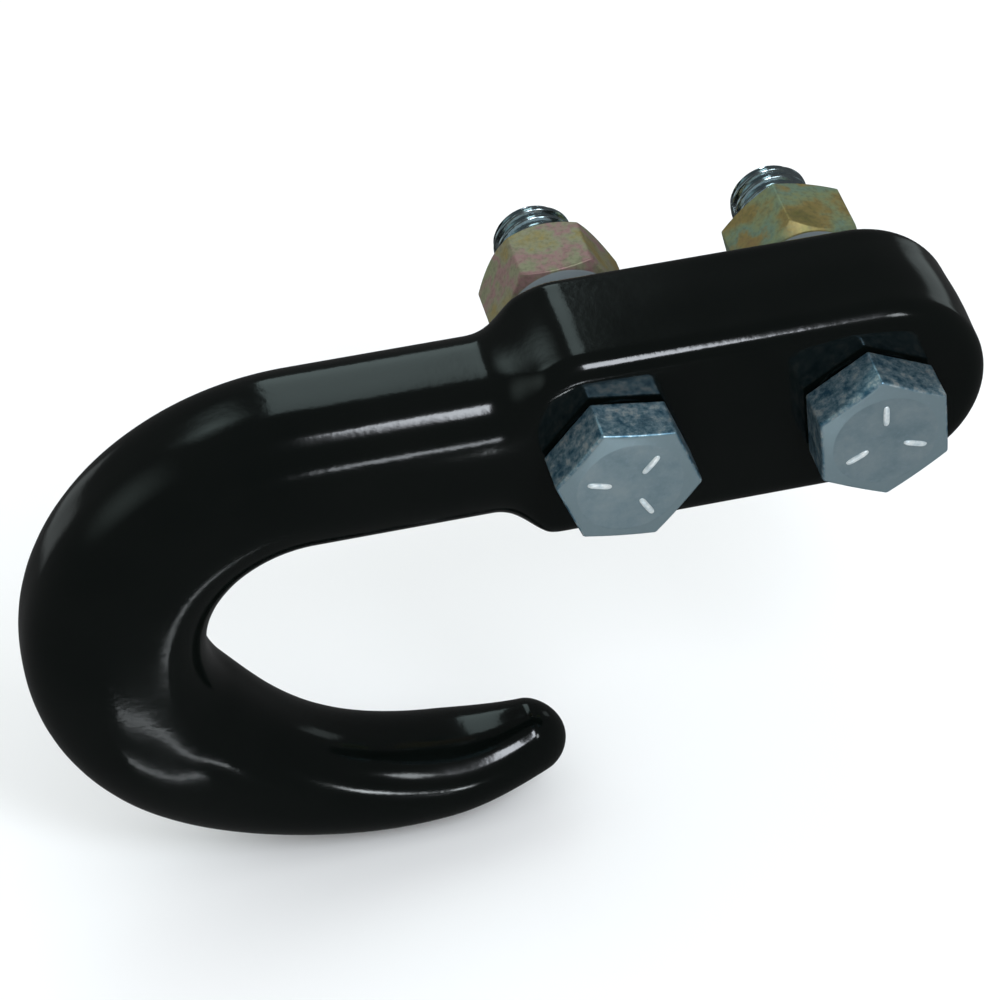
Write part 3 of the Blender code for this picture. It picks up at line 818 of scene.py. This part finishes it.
def clear_zinc():
    """Top, chamfer, sides and thread, each with its own colour, metal and roughness."""
    recipe = Recipe("clear zinc")
    clouds = recipe.noise(CLOUD_SIZE, detail=5.0, roughness=0.65)
    specks = recipe.noise(SPECK_SIZE, detail=3.0, shift=(0.5, 0.2, 0.8))
    smears = recipe.noise(SMEAR_SIZE, detail=4.0, roughness=0.7, shift=(0.9, 0.3, 0.1))
    cells = recipe.add("ShaderNodeTexVoronoi", dict(feature="SMOOTH_F1"), Vector=recipe.coordinates,
                       Scale=1 / DENT_SIZE).outputs["Distance"]
    along = recipe.add("ShaderNodeSeparateXYZ", Vector=recipe.coordinates).outputs["Y"]
    is_thread = recipe.spread(along, *HEAD_TO_THREAD)
    is_end = recipe.facing_along_bolt(0.80, 0.95)
    is_top = recipe.facing_along_bolt(0.992, 0.998)
    top = recipe.ramp(recipe.spread(clouds, 0.32, 0.68), TOP_GREYS)
    sides = recipe.ramp(recipe.spread(smears, 0.35, 0.65), SIDE_BLUES)
    head = recipe.blend(is_end, sides, recipe.blend(is_top, CHAMFER_GREY, top))
    metal = recipe.blend(is_thread, head, recipe.blend(clouds, THREAD_DIM, THREAD_BRIGHT))
    head_metallic = recipe.spread(is_end, 0, 1, 0.9, 0.55)
    head_roughness = recipe.spread(clouds, *MIDDLE_OF_NOISE, 0.40, 0.30)
    dents = recipe.bump(cells, DENT_HEIGHT, strength=DENT_STRENGTH)
    return recipe.finish(
        Base_Color=recipe.blend(recipe.spread(specks, 0.55, 0.75, 0.0, 0.35), metal, SPECK_GREY),
        Metallic=recipe.mix_numbers(is_thread, head_metallic, 1.0),
        Roughness=recipe.mix_numbers(is_thread, head_roughness, THREAD_ROUGHNESS),
        Normal=recipe.bump(specks, SPECK_HEIGHT, normal=dents),
    )


# The pale colours below are a painted highlight on the raised dashes.
DASH_BLOTCH_SIZE = 0.9 * MM
PAINTED_HIGHLIGHT_DIM, PAINTED_HIGHLIGHT_BRIGHT = (0.62, 0.72, 0.76, 1), (0.95, 1.0, 1.0, 1)


def painted_highlight_zinc():
    """Pale colours on the dashes, a painted highlight that makes them read bright."""
    recipe = Recipe("rubbed zinc")
    dash_blotches = recipe.spread(recipe.noise(DASH_BLOTCH_SIZE, detail=3.0), 0.35, 0.65)
    return recipe.finish(Base_Color=recipe.blend(dash_blotches, PAINTED_HIGHLIGHT_DIM, PAINTED_HIGHLIGHT_BRIGHT), Metallic=0.5,
                         Roughness=recipe.spread(dash_blotches, 0, 1, 0.42, 0.28))


# The dashes get the zinc with the painted highlight.
zinc, painted_highlight = clear_zinc(), painted_highlight_zinc()
for place in PLACES:
    bolts[place].data.materials.append(zinc)
    marks[place].data.materials.append(painted_highlight)
print("clear zinc on", len(bolts) + len(marks), "pieces")

# %% [markdown]
# ## Yellow zinc
#
# Yellow passivation is a film so thin that it shows the colours of oil on water: olive, gold, rose and
# teal, in clouds about a centimetre across. A ramp of those colours, read by a slow noise, gives the
# clouds, and a fine noise puts dirt in the film's grain. A thin film shader could work the colours out,
# but a ramp lets each nut have the colours it really took on. The end faces get a pale grey instead: a
# painted reflection of the light that falls on them. A face's own direction picks them out.


# %% Recipe for yellow zinc
FILM_SIZE, GRAIN_SIZE, GRAIN_HEIGHT = 11 * MM, 0.7 * MM, 0.025 * MM
# The end faces' pale grey paints in the light they reflect: a painted reflection.
DIRT_BROWN, END_FACE_PAINTED_REFLECTION = (0.13, 0.12, 0.07, 1), (0.40, 0.46, 0.49, 1)
OLIVE, GOLD, GREEN = (0.15, 0.16, 0.05), (0.34, 0.27, 0.10), (0.29, 0.34, 0.18)
ROSE, TEAL, RUST = (0.38, 0.22, 0.22), (0.22, 0.33, 0.24), (0.31, 0.20, 0.10)
SAGE = (0.31, 0.31, 0.20)
FILMS = {
    "inner": ("yellow zinc rose", (0.2, 0.5, 0.1),
              [(0.0, RUST), (0.35, GOLD), (0.5, SAGE), (0.62, ROSE), (0.75, SAGE), (1.0, GREEN)]),
    "outer": ("yellow zinc olive", (0.6, 0.1, 0.4),
              [(0.0, OLIVE), (0.35, GOLD), (0.5, GREEN), (0.65, TEAL), (0.8, GOLD), (1.0, RUST)]),
}


def yellow_zinc(name, shift, stops):
    """The film's colours with dirt in its grain, and a pale grey on the end faces as a painted reflection.
    """
    recipe = Recipe(name)
    film = recipe.noise(FILM_SIZE, detail=5.0, roughness=0.62, shift=shift)
    grain = recipe.noise(GRAIN_SIZE, detail=3.0, shift=(0.1, 0.6, 0.3))
    iridescent = recipe.ramp(recipe.spread(film, 0.25, 0.75), stops)
    dirty = recipe.blend(recipe.spread(grain, 0.45, 0.75, 0.0, 0.5), iridescent, DIRT_BROWN)
    is_end = recipe.facing_along_bolt(0.95, 0.99)
    return recipe.finish(
        # the end faces take the pale grey of the painted reflection
        Base_Color=recipe.blend(is_end, dirty, END_FACE_PAINTED_REFLECTION),
        Metallic=recipe.spread(is_end, 0, 1, 0.6, 0.3),
        Roughness=recipe.spread(film, *MIDDLE_OF_NOISE, 0.40, 0.50),
        Normal=recipe.bump(grain, GRAIN_HEIGHT),
    )


for place, film in FILMS.items():
    nuts[place].data.materials.append(yellow_zinc(*film))
print("yellow zinc on", len(nuts), "nuts")

# %% [markdown]
# ## The studio
#
# A black gloss surface has hardly any colour of its own: what is seen is the lights in it. A studio
# recorded as an environment could be wrapped round the hook, but with separate panels each streak and each
# patch of grey has a light of its own that can be moved. The floor is plain and pale. It is hidden from
# reflections, so that the front of the hook stays as dark as in a dark room, and it throws no shadow, so
# that the low lights can stand below it.

# %% Floor and world
FLOOR_Z, FLOOR_HALF = -78.5 * MM, 6  # just under the bow, and wide enough to fill the view
FLOOR_CORNERS = [(x * FLOOR_HALF, y * FLOOR_HALF, FLOOR_Z) for x, y in ((-1, -1), (1, -1), (1, 1), (-1, 1))]
FLOOR_COLOUR = (0.93, 0.93, 0.93, 1)
SKY_COLOUR = (0.97, 0.99, 1.0, 1)

floor_mesh = bpy.data.meshes.new("floor")
floor_mesh.from_pydata(FLOOR_CORNERS, [], [(0, 1, 2, 3)])
floor = bpy.data.objects.new("floor", floor_mesh)
bpy.context.scene.collection.objects.link(floor)
floor.visible_glossy = False
floor.visible_shadow = False
floor_paint = bpy.data.materials.new("pale floor")
floor_paint.use_nodes = True
floor_shader = floor_paint.node_tree.nodes["Principled BSDF"]
floor_shader.inputs["Base Color"].default_value = FLOOR_COLOUR
floor_shader.inputs["Roughness"].default_value = 1.0
floor_shader.inputs["Specular IOR Level"].default_value = 0.0
floor_mesh.materials.append(floor_paint)

WORLD_FOR_SURFACES, WORLD_IN_REFLECTIONS = 1.02, 0.07
world = bpy.data.worlds.new("studio")
world.use_nodes = True
bpy.context.scene.world = world
nodes, links = world.node_tree.nodes, world.node_tree.links
rays = nodes.new("ShaderNodeLightPath")
strength = nodes.new("ShaderNodeMapRange")
strength.inputs["To Min"].default_value = WORLD_FOR_SURFACES
strength.inputs["To Max"].default_value = WORLD_IN_REFLECTIONS
links.new(rays.outputs["Is Glossy Ray"], strength.inputs["Value"])
links.new(strength.outputs["Result"], nodes["Background"].inputs["Strength"])
nodes["Background"].inputs["Color"].default_value = SKY_COLOUR
bpy.context.scene.view_settings.view_transform = "Standard"
print("floor at", FLOOR_Z, "m")

# %% [markdown]
# ## The lights
#
# Each light is a flat panel that faces a point on the hook. Its strength is given as radiance, how bright
# the panel itself looks, because that is what shows in the gloss whatever the panel's size. Radiance
# times the panel's area times pi is the power in watts. A panel with hard edges shows as a box in the
# gloss, so most are dimmed towards their edges.


# %% Soft lights
def fade_edges(data, fade):
    """A smoothstep rises from each edge of a panel, across the share fade of the way to its middle."""
    data.use_nodes = True
    nodes, links = data.node_tree.nodes, data.node_tree.links
    split = nodes.new("ShaderNodeSeparateXYZ")
    links.new(nodes.new("ShaderNodeNewGeometry").outputs["Parametric"], split.inputs[0])
    product = nodes.new("ShaderNodeMath")
    product.operation = "MULTIPLY"
    for axis in range(2):
        inwards = nodes.new("ShaderNodeMath")
        inwards.operation = "PINGPONG"
        inwards.inputs[1].default_value = 0.5
        rise = nodes.new("ShaderNodeMapRange")
        rise.interpolation_type = "SMOOTHSTEP"
        rise.inputs["From Max"].default_value = fade / 2
        links.new(split.outputs[axis], inwards.inputs[0])
        links.new(inwards.outputs[0], rise.inputs["Value"])
        links.new(rise.outputs["Result"], product.inputs[axis])
    links.new(product.outputs[0], nodes["Emission"].inputs["Strength"])


def soft_light(name, azimuth, elevation, distance, size, radiance, colour, aim=HOOK_MIDDLE, fade=0):
    """A panel facing the aim point. Azimuth 0 is in front of the pad, and 90 to the right."""
    azimuth, elevation = math.radians(azimuth), math.radians(elevation)
    flat = math.cos(elevation)
    away = Vector((math.sin(azimuth) * flat, -math.cos(azimuth) * flat, math.sin(elevation)))
    data = bpy.data.lights.new(name, "AREA")
    data.shape = "RECTANGLE"
    data.size, data.size_y = size
    data.energy = radiance * math.pi * size[0] * size[1]
    data.color = colour
    light = bpy.data.objects.new(name, data)
    bpy.context.scene.collection.objects.link(light)
    light.location = aim + away * distance
    light.rotation_mode = "QUATERNION"
    light.rotation_quaternion = away.to_track_quat("Z", "Y")
    light.visible_camera = False
    if fade:
        fade_edges(data, fade)
    print(f"{name}: {data.energy:.3g} W")


# %% [markdown]
# ## What each light draws
#
# The box over the camera draws the bright streak along the shank and the one along the pad's edge, and
# the low strip draws the thin streak below it. The panel behind lays the broad grey band on top of the
# shank. The dim wall and the glow give the left side of the bow and the far side their soft grey. Two
# small cards close to the hook lighten one place each, the top of the bow and the end of the pad. Four
# more lights draw the glints low on the bow and on the jaw. The two under the bow are thin strips that
# stand only 6 cm away, so that no other place catches them.

# %% Big panels, cards and glints
COOL_WHITE = (0.9, 0.97, 1.0)
TOP_OF_BOW = Vector((-78, -13, 10)) * MM
END_OF_PAD = Vector((32, -10, 12)) * MM
UNDER_BOW = Vector((-87, -22, -44)) * MM
UNDER_BOW_LOW = Vector((-89, -22, -50)) * MM
JAW = Vector((-50, -18, -64)) * MM
GLINT_GAP = 0.06

soft_light("box over the camera", 17, 52, 0.7, (0.13, 0.27), 14, (0.88, 0.93, 1.0), fade=0.25)
soft_light("low strip", 7, -11, 0.7, (0.085, 0.055), 8, (0.88, 0.94, 1.0), fade=0.3)
soft_light("panel behind", 175.7, 40, 1.2, (0.28, 0.85), 1.1, (0.78, 1.0, 1.0), fade=0.06)
soft_light("dim wall on the left", -92, 32, 1.2, (1.6, 1.0), 0.42, (0.8, 1.0, 0.95), fade=1)
soft_light("glow behind, left", -142, -8, 1.0, (0.50, 0.40), 0.35, (0.9, 1.0, 1.0), fade=0.5)

soft_light("card over the bow", -156, 44, 0.25, (0.13, 0.11), 0.95, (0.78, 1.0, 0.98), TOP_OF_BOW, 1)
soft_light("card beside the pad", 135, -1, 0.15, (0.055, 0.075), 0.42, (0.85, 1.0, 1.0), END_OF_PAD, 0.5)

soft_light("glint under the bow", 12, -42, GLINT_GAP, (0.036, 0.0008), 8, COOL_WHITE, UNDER_BOW)
soft_light("lower glint under the bow", 1, -49, GLINT_GAP, (0.024, 0.0006), 10, COOL_WHITE, UNDER_BOW_LOW)
soft_light("glint on the jaw", 37, 40, 0.7, (0.13, 0.15), 7, COOL_WHITE, JAW, fade=0.4)
soft_light("lower glint on the jaw", 19, -2, 0.15, (0.022, 0.014), 14, COOL_WHITE, JAW, fade=0.4)
